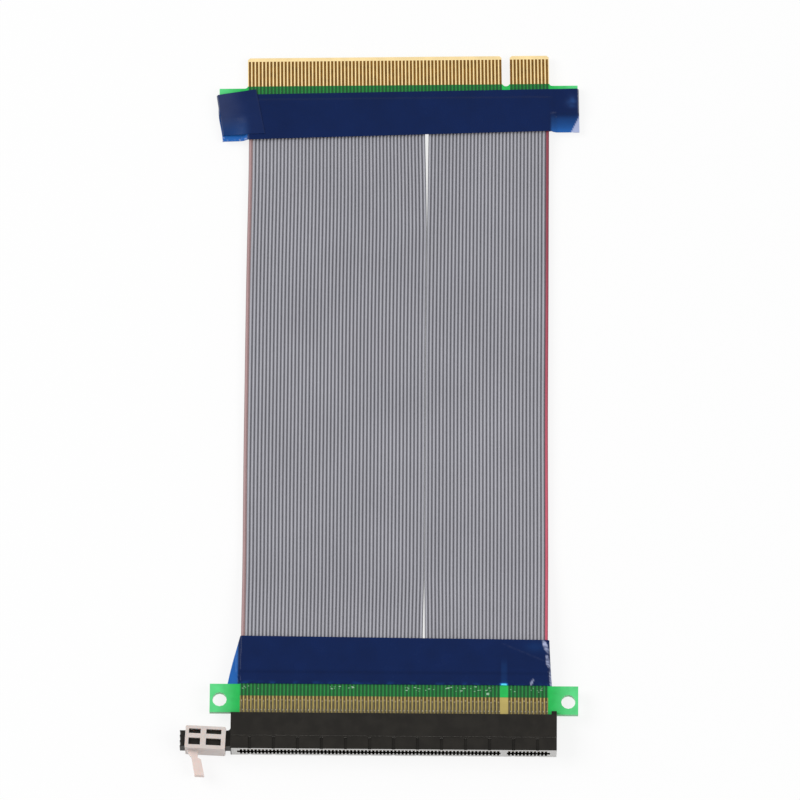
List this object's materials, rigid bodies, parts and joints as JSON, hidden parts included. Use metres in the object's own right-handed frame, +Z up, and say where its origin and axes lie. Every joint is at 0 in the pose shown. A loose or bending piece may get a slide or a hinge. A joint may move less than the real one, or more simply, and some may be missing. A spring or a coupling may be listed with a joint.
{
  "type": "graphics card riser cable",
  "caption": "Flat ribbon riser cable between a card-edge board and an expansion slot with a sliding retention latch.",
  "frame": {"origin": "centre of the whole part's bounding box, on the surface it lies on", "axes": "+X to the right across the boards, away from the latch; +Y along the ribbons from the slot to the card edge; +Z up off the surface"},
  "size_m": [0.1086, 0.2088, 0.0075],
  "materials": {
    "laminate": "bare glass laminate",
    "solder_mask": "glossy green solder mask",
    "gold_fingers": "gold plated",
    "tinned_contacts": "tinned and gold flashed",
    "solder": "solder",
    "black_moulding": "black moulded nylon",
    "latch_moulding": "off-white moulded nylon",
    "ribbon_insulation": "grey ribbed insulation, one edge wire red",
    "tape_film": "glossy dark blue film"
  },
  "bodies": {
    "cable": {"edge_board": "laminate", "slot_board": "laminate", "slot_housing": "black_moulding", "upper_tape": "tape_film", "lower_tape": "tape_film", "edge_mask_front": "solder_mask", "slot_mask_front": "solder_mask", "edge_fingers_front": "gold_fingers", "slot_contacts_front": "tinned_contacts", "upper_wire_ends_front": "solder", "lower_wire_ends_front": "solder", "edge_mask_back": "solder_mask", "slot_mask_back": "solder_mask", "edge_fingers_back": "gold_fingers", "slot_contacts_back": "tinned_contacts", "upper_wire_ends_back": "solder", "lower_wire_ends_back": "solder", "ribbon_front_wide": "ribbon_insulation", "ribbon_front_narrow": "ribbon_insulation", "ribbon_back_wide": "ribbon_insulation", "ribbon_back_narrow": "ribbon_insulation"},
    "latch": {"retention_latch": "latch_moulding"}
  },
  "joints": [
    {"name": "latch_slide", "type": "slide", "parent": "cable", "child": "latch", "axis": [-1, 0, 0], "range_m": [0, 0.003]}
  ]
}
